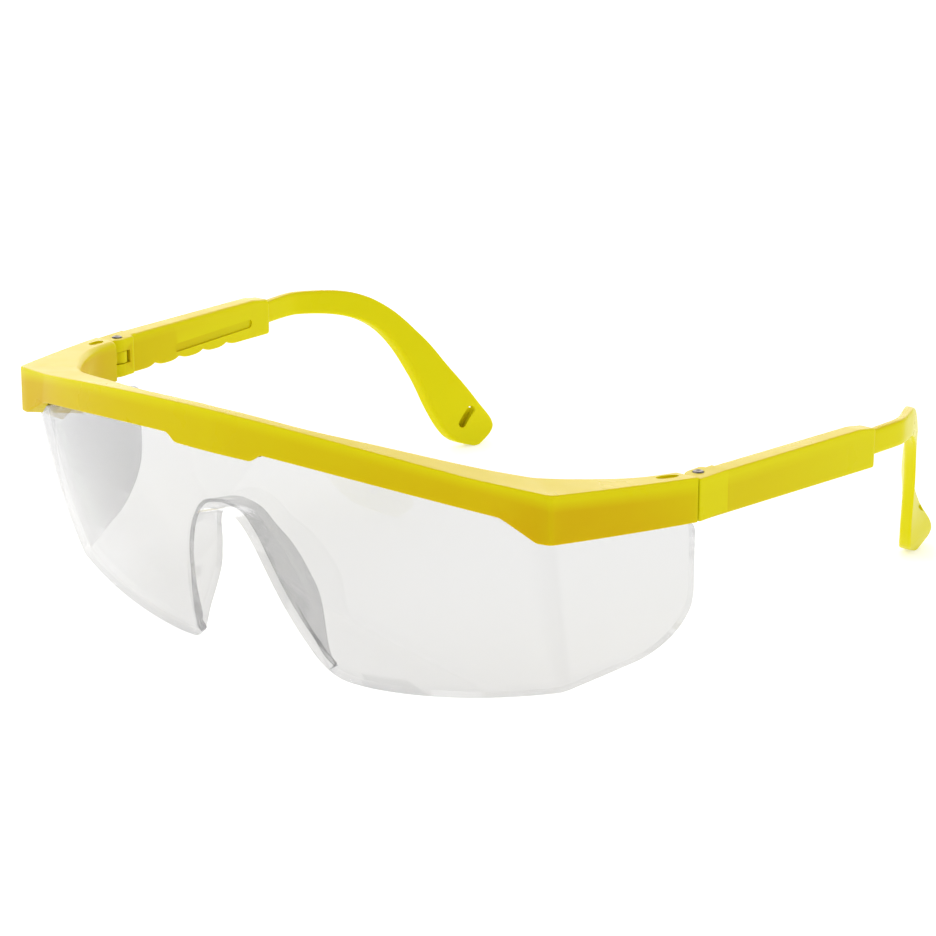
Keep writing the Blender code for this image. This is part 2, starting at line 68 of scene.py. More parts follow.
# Lens
LENS_THICK = 1.8
LENS_FRONT_Y = -15.3
LENS_BULGE_Z = 42.3
LENS_BULGE = 0.00765
SIDE_X = 70.0
CREASE_TOP_Z = 40.0
CREASE_LEAN = 0.1877
CREASE_CURVE = 0.00327
CREASE_X = 71.4
CREASE_BOWS = ((0.0019, 44.0), (0.0006, 20.0))   # (curve, the height below which it bends)
CREASE_Y = 2.0             # the crease at the bar
LENS_LOW_Z = 6.3           # the lower edge at the crease
LENS_LOW_FROM = (27.0, 42.2, 1.8)   # start, length and power of the lower edge's rise
LENS_LAST_X = 68.0         # where the rows at the crease take their lower end
BAR_AT_CREASE_X = 71.0     # and their upper end
SHIELD_REAR = (79.7, 40.1)
SHIELD_TOP_Z = 38.2
SHIELD_STEP = (15.0, 18.5)
SHIELD_LENGTH = 38.0       # roughly, from the crease to the rear edge
SHIELD_CURL = (0.84, 0.16, 2.8)     # start, length and drop of the rear top corner
SHIELD_RISE = 6.2
SHIELD_HEEL = (0.55, 0.45, 9.5)     # start, length and rise of the rear bottom corner
LENS_DEPTH_IN_BAR = 2.3
LENS_ROWS = 24
LENS_EDGE = 0.45           # width of the rounding along the rims
CREASE_ROUND = 0.8         # half width of the rounded fold at the crease
NOSE_OUTLINE = [(0.0, 37.2), (4.9, 36.1), (8.2, 32.0), (10.7, 26.0), (13.1, 18.0),
                (15.4, 10.0), (17.3, 4.2), (20.5, 0.8), (27.0, 0.0)]
NOSE_END_X = 18.6          # the folded-back flange dies out here
NOSE_ROWS = 5
NOSE_DEPTH = (0.8, 8.9, 2.6)        # at the foot, gained up to z 21, lost above z 24
FLANGE_TAPER = 0.08
FLANGE_LIFT = 0.9
GROOVE_LOW_Z = 36.0
GROOVE_ROWS = 4

# Brow frame
ARCH = 0.0015
BAR_TOP_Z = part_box("brow_frame")[1].z / MM
BAR_BOTTOM_Z = 51.57
FRONT_WALL = 1.5
TAB_HALF = (10.1, 13.5)
TAB_Z = 49.6
TAB_END_X = 14.0           # the section changes quickly from 9.5 up to here
BEND_X = 58.6              # the turn into the facet starts here
FACET_TOP_X = 59.4
FACET_LOW_X = (64.0, 71.4)
FACET_LOW_Z = (45.43, 41.3)
FACET_KNEE = 0.75          # share of the facet at which its slanting lower edge ends
CORNER = (74.0, 0.0)
CORNER_Z = (41.1, 51.2)
SIDE_SPREAD = (0.37, -0.0014)
SIDE_FALL = (0.045, 0.066)
SIDE_END_Y = 33.5
SIDE_EXTRA = 0.1           # the side arms' ends come this much closer to the temples
INNER_EDGE = [(0.0, -14.0), (21.8, -12.5), (38.3, -7.5), (53.0, -0.7), (65.3, 9.0),
              (72.5, 17.6), (76.7, 25.0), (79.1, 33.5)]
INNER_SHARE = (0.575, 0.69)
CHAMFER = (1.6, 0.9)
BAR_RADII = (0.35, 0.45, 0.6, 0.4, 0.35)
DIMPLE = (80.3, 29.3, 2.8, 1.15, 0.5, -16.0)
KNUCKLE_RADIUS = 2.2
KNUCKLE_WEB = (-1.6, 2.0)
KNUCKLE_Z = (42.9, 45.6)

# Temple sleeve, in the temple's own frame
HINGE_TURN = radians(4.26)
SLEEVE_MID_X = 1.1
SLEEVE_HALF = (2.35, 2.2)
SLEEVE_START = -3.5
HEAD_HALF = 2.3
HEAD_END = 3.3
SLEEVE_END = 55.0
SLEEVE_BEVEL = (6.0, 0.6)
SLEEVE_TOP = (48.75, 47.1)
SLEEVE_BOTTOM = (39.75, 37.8)
SLEEVE_RADII = (0.5, 1.0, 0.55, 0.5, 0.2, 0.2)
SLEEVE_RIM = ((0.8, 0.0), (0.45, 0.07), (0.18, 0.25), (0.0, 0.6))   # (back from the end, inset)
EAR_GAP_Z = (42.76, 45.74)
CAVITY_HALF = 1.5
CAVITY_START = 30.9        # leaves the arm its whole slide
CAVITY_Z = (39.5, 45.85)
WINDOW_Y = (19.0, 48.0)
WINDOW_Z = (40.9, 43.0)
WINDOW_DEPTH = 0.55
SCALLOP_FROM = 12.0
SCALLOP_PITCH = 8.8
SCALLOP_RISE = 0.9
SCALLOPS = 4
LOBE_STEP = 0.15           # half width of the step between the lower edge's two halves

# Temple arm
ARM_HALF = (1.2, 1.65)
ARM_RADIUS = 0.95
ARM_PLAN = [(54.6, 0.0), (64.5, 0.0), (68.5, -0.9), (74.0, -3.6), (80.0, -7.0), (86.0, -10.8),
            (93.7, -15.8), (99.0, -20.2), (104.0, -23.6), (109.5, -25.3), (116.0, -25.8)]
ARM_TOP = [(54.6, 45.55), (68.5, 45.5), (80.5, 43.9), (88.8, 39.0), (95.8, 31.0),
           (102.2, 21.0), (109.2, 12.0), (115.0, 5.6), (115.0, 2.6), (110.2, 0.15)]
ARM_LOW = [(54.6, 40.0), (67.5, 39.8), (77.5, 38.3), (84.6, 35.0), (90.0, 28.9),
           (94.6, 19.8), (97.7, 11.0), (100.3, 5.2), (103.0, 2.0), (107.8, 0.0)]
TONGUE_START = 41.5
CORD_SLOT = ((105.7, 6.3), (107.7, 9.3), 1.2)
CORD_FLARE = ((-2.2, 1.0), (-0.3, 0.0), (0.3, 0.0), (2.2, 1.0))     # (depth, extra radius)

# Hinge pin: (radius, distance from the end) from the middle of the dished end outwards
PIN_PROFILE = [(0.0, 0.12), (0.45, 0.08), (0.62, 0.0), (0.85, 0.0), (1.02, 0.08), (1.12, 0.22),
               (PIN_RADIUS, 0.4)]
PIN_SIDES = 40

# Camera
CAMERA_TURN = radians(39.259)
CAMERA_RISE = radians(17.35)
CAMERA_DISTANCE = 646.721
CAMERA_AIM = (41.386, 40.366)   # to the right of and above the origin, across the view
CAMERA_LENS = 118.13
SENSOR = 36.0

# Studio, in metres and watts: (name, place, size, power)
FLOOR_HALF = 6.0
SKY_STRENGTH = 0.69
LIGHTS_AIM = (0.0, 0.0, 0.03)
SOFTBOXES = [("left_softbox", (-1.3, -0.7, 0.9), (1.6, 1.6), 11.0),
             ("right_softbox", (1.4, 0.7, 0.8), (1.6, 1.6), 4.0),
             ("top_softbox", (-0.3, 0.6, 1.5), (2.0, 1.6), 6.0),
             ("back_softbox", (-1.85, 2.25, 1.05), (3.4, 1.9), 52.0)]

# Nylon colours, by place: amber at the front corners is painted shade; lime at the ears, along sharp
# edges and along the bar's crown is painted light, and it also tints random flow streaks
PAINTED_SHADE_AMBER = (0.60, 0.375, 0.0006)
NYLON = (0.62, 0.475, 0.001)
LIME_FLOW_AND_PAINTED_LIGHT = (0.70, 0.64, 0.003)


# Helpers ----------------------------------------------------------------------

def mix(a, b, t):
    return a + (b - a) * t


def smoothstep(t):
    t = min(1.0, max(0.0, t))
    return t * t * (3.0 - 2.0 * t)


def curl(t):
    """From 0, for t up to 0, to 1, for t = 1, along a quarter of a circle."""
    t = max(0.0, t)
    return 1.0 - sqrt(max(0.0, 1.0 - t * t))


def spread(low, high, count):
    """Evenly spaced numbers from low up to, and without, high."""
    return [mix(low, high, i / count) for i in range(count)]


def world(point):
    return Vector((point[0], point[1] - MIDDLE_Y, point[2])) * MM


def mirrored(point):
    return (-point[0], point[1], point[2])


def smooth_path(points, per_span):
    """A Catmull-Rom curve through the points."""
    knots = [points[0]] + list(points) + [points[-1]]
    path = []
    for i in range(1, len(knots) - 2):
        p0, p1, p2, p3 = (Vector(knots[i + k]) for k in (-1, 0, 1, 2))
        for step in range(per_span):
            t = step / per_span
            a = 2 * p1 + (p2 - p0) * t
            b = (2 * p0 - 5 * p1 + 4 * p2 - p3) * t * t
            c = (3 * p1 - p0 - 3 * p2 + p3) * t ** 3
            path.append((a + b + c) / 2)
    path.append(Vector(points[-1]))
    return path


def along(path, fraction):
    """The point at a fraction of the path's length."""
    steps = [(b - a).length for a, b in zip(path, path[1:])]
    goal = fraction * sum(steps)
    for a, b, step in zip(path, path[1:], steps):
        if goal <= step:
            return a.lerp(b, goal / step)
        goal -= step
    return path[-1]


def level(path, at):
    """The second coordinate of a path of (a, b) points where the first one is at."""
    for (a0, b0), (a1, b1) in zip(path, path[1:]):
        if at <= a1:
            return mix(b0, b1, max(0.0, (at - a0) / (a1 - a0)))
    return path[-1][1]


def rounded(corners, radii, steps=4):
    """A closed outline with each corner rounded by its radius."""
    points = []
    for i, radius in enumerate(radii):
        corner = Vector(corners[i])
        before = Vector(corners[i - 1]) - corner
        after = Vector(corners[(i + 1) % len(corners)]) - corner
        start = corner + before.normalized() * min(radius, 0.45 * before.length)
        end = corner + after.normalized() * min(radius, 0.45 * after.length)
        for k in range(steps + 1):
            t = k / steps
            points.append(start.lerp(corner, t).lerp(corner.lerp(end, t), t))
    return points


def shrunk(section, inset):
    """A section drawn in towards its middle by a distance."""
    middle = sum((Vector(p) for p in section), Vector((0.0, 0.0, 0.0))) / len(section)
    points = []
    for p in section:
        inward = middle - Vector(p)
        points.append(Vector(p) + inward.normalized() * min(inset, 0.9 * inward.length))
    return points


def new_mesh(name, points, faces, at=world):
    mesh = bpy.data.meshes.new(name)
    mesh.from_pydata([at(p) for p in points], [], faces)
    build = bmesh.new()
    build.from_mesh(mesh)
    bmesh.ops.remove_doubles(build, verts=build.verts, dist=1e-7)
    bmesh.ops.recalc_face_normals(build, faces=build.faces)
    build.to_mesh(mesh)
    build.free()
    return mesh


def loft(sections, caps=True):
    count = len(sections[0])
    points = [p for section in sections for p in section]
    faces = []
    for row in range(len(sections) - 1):
        a = row * count
        b = a + count
        for i in range(count):
            j = (i + 1) % count
            faces.append((a + i, a + j, b + j, b + i))
    if caps:
        faces.append(tuple(range(count)))
        faces.append(tuple(range(len(points) - count, len(points))))
    return points, faces


def sheet(columns):
    count = len(columns[0])
    points = [p for column in columns for p in column]
    faces = []
    for row in range(len(columns) - 1):
        for i in range(count - 1):
            a = row * count + i
            faces.append((a, a + 1, a + count + 1, a + count))
    return points, faces


def box_shape(low, high):
    (x0, y0, z0), (x1, y1, z1) = low, high
    return loft([[(x0, y0, z), (x1, y0, z), (x1, y1, z), (x0, y1, z)] for z in (z0, z1)])


def rod_shape(radius, low, high, at=(0.0, 0.0), sides=48, stretch=1.0, turn=0.0):
    """An upright rod; stretch draws it out along a line turned from the Y axis."""
    sections = []
    for z in (low, high):
        section = []
        for i in range(sides):
            angle = 2 * pi * i / sides
            x = radius * cos(angle)
            y = radius * stretch * sin(angle)
            section.append((at[0] + x * cos(turn) - y * sin(turn),
                            at[1] + x * sin(turn) + y * cos(turn), z))
        sections.append(section)
    return loft(sections)


def new_object(name, mesh):
    obj = bpy.data.objects.new(name, mesh)
    bpy.context.scene.collection.objects.link(obj)
    return obj


def carve(obj, tools):
    """Applies (operation, shape) Booleans to the object, in order."""
    made = []
    for i, (operation, mesh) in enumerate(tools):
        tool = new_object("tool_%d" % i, mesh)
        mod = obj.modifiers.new("Boolean", "BOOLEAN")
        mod.operation = operation
        mod.solver = "EXACT"
        mod.object = tool
        made.append(tool)
    freeze(obj)
    for tool in made:
        bpy.data.objects.remove(tool, do_unlink=True)
    build = bmesh.new()
    build.from_mesh(obj.data)
    bmesh.ops.dissolve_degenerate(build, dist=2e-6, edges=build.edges)
    build.to_mesh(obj.data)
    build.free()


def freeze(obj):
    """Turns the object's modifiers into its mesh."""
    bpy.context.view_layer.update()
    view = bpy.context.evaluated_depsgraph_get()
    mesh = bpy.data.meshes.new_from_object(obj.evaluated_get(view))
    obj.modifiers.clear()
    obj.data = mesh


def thicken(obj, thickness, offset):
    mod = obj.modifiers.new("Thickness", "SOLIDIFY")
    mod.thickness = thickness * MM
    mod.offset = offset
    mod.use_even_offset = True
    mod.use_quality_normals = True


def soften(obj, width, segments, angle):
    """Rounds every edge sharper than an angle."""
    mod = obj.modifiers.new("Soft_edges", "BEVEL")
    mod.width = width * MM
    mod.segments = segments
    mod.limit_method = "ANGLE"
    mod.angle_limit = radians(angle)
    mod.miter_outer = "MITER_ARC"
    freeze(obj)


def shade(obj, angle=32.0):
    obj.data.shade_smooth()
    obj.data.set_sharp_from_angle(angle=radians(angle))
    mod = obj.modifiers.new("Flat_faces", "WEIGHTED_NORMAL")
    mod.weight = 100
    mod.keep_sharp = True


def finish_piece(obj, body, slot, material, *nodes):
    obj.data.materials.clear()
    obj.data.materials.append(material)
    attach(obj, body)
    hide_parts(*nodes)


# Materials --------------------------------------------------------------------

class Nodes:
    """A short way to write a material's node tree."""

    def __init__(self, name):
        self.material = bpy.data.materials.new(name)
        self.material.use_nodes = True
        self.tree = self.material.node_tree
        self.shader = self.tree.nodes["Principled BSDF"]
        place = self.add("ShaderNodeTexCoord")
        self.place = place.outputs["Object"]
        self.facing = place.outputs["Normal"]

    def add(self, kind, **settings):
        node = self.tree.nodes.new(kind)
        for key, value in settings.items():
            setattr(node, key, value)
        return node

    def link(self, source, target):
        self.tree.links.new(source, target)

    def stretched(self, scale):
        node = self.add("ShaderNodeMapping")
        node.inputs["Scale"].default_value = scale
        self.link(self.place, node.inputs["Vector"])
        return node.outputs["Vector"]

    def noise(self, scale, detail=3.0, vector=None, roughness=0.5):
        node = self.add("ShaderNodeTexNoise")
        node.inputs["Scale"].default_value = scale
        node.inputs["Detail"].default_value = detail
        node.inputs["Roughness"].default_value = roughness
        self.link(vector or self.place, node.inputs["Vector"])
        return node.outputs["Fac"]

    def ramp(self, source, *stops):
        node = self.add("ShaderNodeValToRGB")
        elements = node.color_ramp.elements
        while len(elements) < len(stops):
            elements.new(0.5)
        for element, (position, colour) in zip(elements, stops):
            element.position = position
            element.color = (*colour, 1.0)
        self.link(source, node.inputs["Fac"])
        return node.outputs["Color"]

    def span(self, source, low, high, start=0.3, end=0.7):
        node = self.add("ShaderNodeMapRange")
        node.inputs["From Min"].default_value = start
        node.inputs["From Max"].default_value = end
        node.inputs["To Min"].default_value = low
        node.inputs["To Max"].default_value = high
        self.link(source, node.inputs["Value"])
        return node.outputs["Result"]

    def math(self, operation, a, b):
        node = self.add("ShaderNodeMath", operation=operation)
        for value, socket in zip((a, b), node.inputs):
            if isinstance(value, float):
                socket.default_value = value
            else:
                self.link(value, socket)
        return node.outputs["Value"]

    def product(self, a, b):
        return self.math("MULTIPLY", a, b)

    def sum(self, a, b):
        return self.math("ADD", a, b)

    def blend(self, factor, a, b):
        node = self.add("ShaderNodeMix", data_type="RGBA")
        self.link(factor, node.inputs["Factor"])
        for source, socket in ((a, node.inputs["A"]), (b, node.inputs["B"])):
            self.join(source, socket)
        return node.outputs["Result"]

    def join(self, source, socket):
        if isinstance(source, tuple):
            socket.default_value = (*source, 1.0)
        else:
            self.link(source, socket)

    def bump(self, height, strength, distance, under=None):
        node = self.add("ShaderNodeBump")
        node.inputs["Strength"].default_value = strength
        node.inputs["Distance"].default_value = distance * MM
        self.link(height, node.inputs["Height"])
        if under:
            self.link(under, node.inputs["Normal"])
        return node.outputs["Normal"]

    def put(self, **sockets):
        for name, value in sockets.items():
            socket = self.shader.inputs[name.replace("_", " ")]
            if isinstance(value, bpy.types.NodeSocket):
                self.link(value, socket)
            else:
                socket.default_value = value


def yellow_nylon(name, *places):
    """Translucent moulded nylon with fine skin and scratches, painted with light and shade by place.

    places are the colours from the front corners to the ears: amber is painted shade, lime is painted
    light. Sharp edges and the bar's crown get painted light (limier); faces that look up are plain
    NYLON.
    """
    n = Nodes(name)
    split = n.add("ShaderNodeSeparateXYZ")
    n.link(n.place, split.inputs[0])
    # The ramp of places along Y: painted shade where it is amber, painted light where it is lime
    depth = n.ramp(n.span(split.outputs["Y"], 0.0, 1.0, -MIDDLE_Y * MM - 0.016, 0.03), *places)
    flow = n.noise(38.0, 3.0, n.stretched((1.0, 1.0, 2.2)))
    colour = n.blend(n.span(flow, 0.0, 0.25, 0.35, 0.8), depth, LIME_FLOW_AND_PAINTED_LIGHT)
    # Painted light: limier towards the bar's top edge, along its crown
    arch = n.sum(n.product(n.product(split.outputs["X"], split.outputs["X"]), ARCH / MM),
                 split.outputs["Z"])
    crown = n.span(arch, 0.0, 0.8, (BAR_TOP_Z - 2.6) * MM, (BAR_TOP_Z - 0.4) * MM)
    colour = n.blend(crown, colour, LIME_FLOW_AND_PAINTED_LIGHT)
    way = n.add("ShaderNodeSeparateXYZ")
    n.link(n.facing, way.inputs[0])
    # Painted light: limier along sharp edges
    edge = n.add("ShaderNodeNewGeometry").outputs["Pointiness"]
    colour = n.blend(n.span(edge, 0.0, 0.8, 0.505, 0.56), colour, LIME_FLOW_AND_PAINTED_LIGHT)
    # Faces that look up go back to plain NYLON, without the painted shade and light
    colour = n.blend(n.span(way.outputs["Z"], 0.0, 1.0, 0.6, 0.95), colour, NYLON)
    skin = n.noise(1500.0, 2.0)
    scratches = n.noise(420.0, 5.0, n.stretched((0.12, 1.0, 3.0)), 0.7)
    smudge = n.noise(90.0, 3.0)
    normal = n.bump(scratches, 0.08, 0.02, n.bump(skin, 0.12, 0.015))
    n.put(Base_Color=colour, Roughness=n.span(smudge, 0.26, 0.36), Normal=normal, IOR=1.5,
          Specular_IOR_Level=0.055, Subsurface_Weight=0.25, Subsurface_Radius=(1.0, 0.8, 0.05),
          Subsurface_Scale=0.0016)
    return n.material


def clear_polycarbonate():
    """Clear sheet with a faint grey tint, smears from handling and slight moulding waves.

    Straight on, light mostly passes unbent. It turns to glass towards a grazing view, and
    folds and rims are a little darker, a painted shade.
    """
    n = Nodes("clear_polycarbonate")
    smear = n.noise(28.0, 4.0, n.stretched((1.0, 1.0, 0.5)))
    waves = n.noise(16.0, 1.0)
    n.put(Base_Color=n.ramp(smear, (0.35, (0.77, 0.77, 0.775)), (0.7, (0.80, 0.80, 0.805))),
          Roughness=n.span(smear, 0.01, 0.04), Normal=n.bump(waves, 0.2, 0.05),
          IOR=1.3, Specular_IOR_Level=0.3, Transmission_Weight=1.0)
    straight = n.add("ShaderNodeBsdfTransparent")
    # Painted shade: the clear part is darker at folds and rims
    fold = n.add("ShaderNodeNewGeometry").outputs["Pointiness"]
    n.link(n.blend(n.span(fold, 0.0, 1.0, 0.505, 0.56), (0.82, 0.82, 0.822), (0.745, 0.745, 0.75)),
           straight.inputs["Color"])
    facing = n.add("ShaderNodeLayerWeight")
    facing.inputs["Blend"].default_value = 0.4
    both = n.add("ShaderNodeMixShader")
    n.link(n.span(facing.outputs["Facing"], 0.06, 0.8, 0.42, 0.97), both.inputs[0])
    n.link(straight.outputs["BSDF"], both.inputs[1])
    n.link(n.shader.outputs["BSDF"], both.inputs[2])
    n.link(both.outputs["Shader"], n.tree.nodes["Material Output"].inputs["Surface"])
    return n.material


def dark_steel():
    """Blackened steel pin with turned rings and bright wear."""
    n = Nodes("dark_steel")
    rings = n.noise(900.0, 3.0, n.stretched((1.0, 1.0, 0.2)))
    colour = n.ramp(rings, (0.35, (0.07, 0.06, 0.055)), (0.7, (0.26, 0.23, 0.22)))
    n.put(Base_Color=colour, Metallic=1.0, Roughness=n.span(rings, 0.28, 0.5),
          Normal=n.bump(rings, 0.2, 0.02))
    return n.material


def pale_floor():
    """White floor with a little light of its own, to stay white beside the object."""
    n = Nodes("pale_floor")
    n.put(Base_Color=n.ramp(n.noise(3.0), (0.3, (0.74, 0.74, 0.74)), (0.7, (0.76, 0.76, 0.76))),
          Roughness=0.9, Specular_IOR_Level=0.0, Emission_Color=(1.0, 1.0, 1.0, 1.0),
          Emission_Strength=0.4)
    return n.material


# Lens -------------------------------------------------------------------------

def centre_y(z):
    return LENS_FRONT_Y + LENS_BULGE * max(0.0, LENS_BULGE_Z - z) ** 2


def side_y(z):
    drop = CREASE_TOP_Z - z
    return 2.34 + CREASE_LEAN * drop + CREASE_CURVE * drop * abs(drop)


def lens_y(x, z):
    return centre_y(z) + (x / SIDE_X) ** 2 * (side_y(z) - centre_y(z))


def crease_x(z):
    (inward, high), (outward, low) = CREASE_BOWS
    return CREASE_X - inward * max(0.0, high - z) ** 2 + outward * max(0.0, low - z) ** 2


def shield_point(t, z):
    x = crease_x(z)
    return (mix(x, SHIELD_REAR[0], t), mix(lens_y(x, z), SHIELD_REAR[1], t), z)


def before_crease(z):
    x = crease_x(z) - CREASE_ROUND
    return (x, lens_y(x, z), z)


def arch_z(x):
    return BAR_TOP_Z - ARCH * x * x


def bar_top(x):
    if x <= FACET_TOP_X:
        return arch_z(x)
    t = (x - FACET_TOP_X) / (CORNER[0] - FACET_TOP_X)
    return mix(arch_z(FACET_TOP_X), CORNER_Z[1], t)


def lens_bottom(x):
    start, length, power = LENS_LOW_FROM
    return LENS_LOW_Z * (max(0.0, x - start) / length) ** power


def shield_bottom(t):
    start, length, rise = SHIELD_HEEL
    return LENS_LOW_Z + SHIELD_RISE * t + rise * curl((t - start) / length)


def inside_side_arm(t):
    """The height of the lens's top edge inside a side arm."""
    return bar_top(CORNER[0]) - SIDE_FALL[1] * mix(CREASE_Y, SHIELD_REAR[1], t) - LENS_DEPTH_IN_BAR


def shield_top(t):
    y = mix(CREASE_Y, SHIELD_REAR[1], t)
    step = smoothstep((y - SHIELD_STEP[0]) / (SHIELD_STEP[1] - SHIELD_STEP[0]))
    start, length, drop = SHIELD_CURL
    return mix(inside_side_arm(t), SHIELD_TOP_Z, step) - drop * curl((t - start) / length)


def nose_depth(z):
    foot, gain, loss = NOSE_DEPTH
    return foot + gain * smoothstep(z / 21.0) - loss * smoothstep((z - 24.0) / 14.0)


def column(point_at, low, high, rows):
    return [point_at(mix(low, high, i / rows)) for i in range(rows + 1)]


def flange_column(x, z):
    """Points of the nose flange from its rear edge up to the lens's own edge."""
    depth = nose_depth(z)
    taper = FLANGE_TAPER * x * smoothstep((z - 14.0) / 20.0)
    lift = FLANGE_LIFT * smoothstep((z - 28.0) / 6.0)
    points = []
    for k in range(NOSE_ROWS, 0, -1):
        t = k / NOSE_ROWS
        points.append((x - taper * t, lens_y(x, z) + depth * t, z - lift * t))
    return points


def lens_columns():
    """Half of the lens: (flange points, front points) from the nose to the shield's rear."""
    columns = []
    nose = smooth_path(NOSE_OUTLINE, 6)
    for x, z in nose[:-1]:
        flange = flange_column(x, z) if x <= NOSE_END_X else []
        columns.append((flange, column(lambda h: (x, lens_y(x, h), h), z,
                                       bar_top(x) - LENS_DEPTH_IN_BAR, LENS_ROWS)))
    for x in spread(27.0, 69.0, 21):
        columns.append(([], column(lambda h: (x, lens_y(x, h), h), lens_bottom(x),
                                   bar_top(x) - LENS_DEPTH_IN_BAR, LENS_ROWS)))
    columns.append(([], column(before_crease, lens_bottom(LENS_LAST_X),
                               bar_top(BAR_AT_CREASE_X) - LENS_DEPTH_IN_BAR, LENS_ROWS)))
    shares = [CREASE_ROUND / SHIELD_LENGTH] + spread(0.06, 0.34, 6) + spread(0.34, 0.43, 7)
    shares += spread(0.43, 0.88, 9) + [0.88, 0.91, 0.94, 0.965, 0.985, 1.0]
    for t in shares:
        columns.append(([], column(lambda h: shield_point(t, h), shield_bottom(t), shield_top(t),
                                   LENS_ROWS)))
    return columns


def both_halves(columns):
    """Mirrors columns about the middle; the first column is on it."""
    left = [([mirrored(p) for p in a], [mirrored(p) for p in b]) for a, b in reversed(columns[1:])]
    return left + columns


def lens_shape():
    """Points and faces of the lens's outer surface, flange included."""
    points, faces, grid = [], [], []
    for flange, front in both_halves(lens_columns()):
        line = flange + front
        grid.append((len(points), len(line)))
        points.extend(line)
    for (a, a_count), (b, b_count) in zip(grid, grid[1:]):
        rows = min(a_count, b_count) - 1
        for k in range(rows):
            i = a + a_count - 1 - k
            j = b + b_count - 1 - k
            faces.append((i, i - 1, j - 1, j))
    return points, faces


def facing_front(mesh):
    build = bmesh.new()
    build.from_mesh(mesh)
    if sum(face.normal.y * face.calc_area() for face in build.faces) > 0:
        bmesh.ops.reverse_faces(build, faces=build.faces)
    build.to_mesh(mesh)
    build.free()
    return mesh


def make_lens(material):
    lens = new_object("clear_lens", facing_front(new_mesh("clear_lens", *lens_shape())))
    thicken(lens, LENS_THICK, -1.0)
    freeze(lens)
    soften(lens, LENS_EDGE, 3, 40.0)
    shade(lens, 40.0)
    lens.visible_shadow = False
    finish_piece(lens, "front", "clear_polycarbonate", material, "lens")


# Brow frame -------------------------------------------------------------------

def bar_bottom(x):
    ramp = smoothstep((x - TAB_HALF[0]) / (TAB_HALF[1] - TAB_HALF[0]))
    return mix(TAB_Z, BAR_BOTTOM_Z - ARCH * x * x, ramp)


def facet_y(x):
    start = lens_y(FACET_TOP_X, arch_z(FACET_TOP_X)) - FRONT_WALL
    return mix(start, CORNER[1], (x - FACET_TOP_X) / (CORNER[0] - FACET_TOP_X))


def front_station(x):
    low = x + (FACET_LOW_X[0] - FACET_TOP_X) * (x / FACET_TOP_X) ** 6
    z_low = bar_bottom(low)
    z_top = arch_z(x)
    return [Vector((low, lens_y(low, z_low) - FRONT_WALL, z_low)),
            Vector((x, lens_y(x, z_top) - FRONT_WALL, z_top))]


def facet_station(t):
    top = mix(FACET_TOP_X, CORNER[0], t)
    if t <= FACET_KNEE:
        low = mix(*FACET_LOW_X, t / FACET_KNEE)
        z_low = mix(*FACET_LOW_Z, t / FACET_KNEE)
        start = lens_y(FACET_LOW_X[0], FACET_LOW_Z[0]) - FRONT_WALL
        return [Vector((low, mix(start, facet_y(FACET_LOW_X[1]), t / FACET_KNEE), z_low)),
                Vector((top, facet_y(top), bar_top(top)))]
    low = mix(FACET_LOW_X[1], CORNER[0], (t - FACET_KNEE) / (1.0 - FACET_KNEE))
    z_low = mix(FACET_LOW_Z[1], CORNER_Z[0], (t - FACET_KNEE) / (1.0 - FACET_KNEE))
    return [Vector((low, facet_y(low), z_low)), Vector((top, facet_y(top), bar_top(top)))]


def side_station(y):
    x = CORNER[0] + SIDE_SPREAD[0] * y + SIDE_SPREAD[1] * y * y
    return [Vector((x, y, CORNER_Z[0] - SIDE_FALL[0] * y)),
            Vector((x, y, CORNER_Z[1] - SIDE_FALL[1] * y))]


def turned(before, at, after, steps=5):
    """Stations that round the turn at a station, between the ones before and after it."""
    stations = []
    for k in range(steps + 1):
        t = k / steps
        line = []
        for p, q, r in zip(before[0], at[0], after[0]):
            line.append(p.lerp(q, t).lerp(q.lerp(r, t), t))
        share = mix(mix(before[1], at[1], t), mix(at[1], after[1], t), t)
        stations.append((line, share))
    return stations


def bar_stations():
    """((low, top) of the outer face, share of the inner edge) along the right half."""
    def front(x):
        return (front_station(x), INNER_SHARE[0] * x / FACET_TOP_X)

    def facet(t):
        return (facet_station(t), mix(*INNER_SHARE, t))

    def side(y):
        return (side_station(y), mix(INNER_SHARE[1], 1.0, y / SIDE_END_Y))

    stations = [front(x) for x in spread(0.0, 9.5, 4) + spread(9.5, TAB_END_X, 9)
                + spread(TAB_END_X, BEND_X, 24)]
    stations += turned(front(BEND_X), front(FACET_TOP_X), facet(0.06), 3)
    stations += [facet(t) for t in (0.2, 0.35, 0.5, 0.65)]
    stations += turned(facet(0.7), facet(FACET_KNEE), facet(0.8), 3)
    stations += turned(facet(0.94), (facet_station(1.0), INNER_SHARE[1]), side(1.0))
    stations += [side(y) for y in spread(2.5, SIDE_END_Y - 0.6, 14)]
    return stations, side(SIDE_END_Y - 0.6), side(SIDE_END_Y)


def bar_section(station, edge):
    (low, top), share = station
    inner = along(edge, share)
    inward = (inner - top.xy).normalized()
    chamfer = mix(*CHAMFER, smoothstep(share))
    wall = inner + inward * chamfer
    corners = [low, top, (*inner, top.z), (*wall, top.z - chamfer), (*wall, low.z)]
    return rounded(corners, BAR_RADII)


def bar_sections():
    edge = smooth_path(INNER_EDGE, 12)
    stations, near_end, end = bar_stations()
    right = [bar_section(station, edge) for station in stations]
    right[0] = [Vector((0.0, p.y, p.z)) for p in right[0]]
    full, last = bar_section(near_end, edge), bar_section(end, edge)
    last = [p + Vector((0.0, SIDE_EXTRA, 0.0)) for p in last]
    for t, inset in ((0.0, 0.0), (0.75, 0.0), (0.88, 0.03), (0.96, 0.1), (1.0, 0.22)):
        right.append(shrunk([a.lerp(b, t) for a, b in zip(full, last)], inset))
    left = [[mirrored(p) for p in section] for section in reversed(right[1:])]
    return left + right


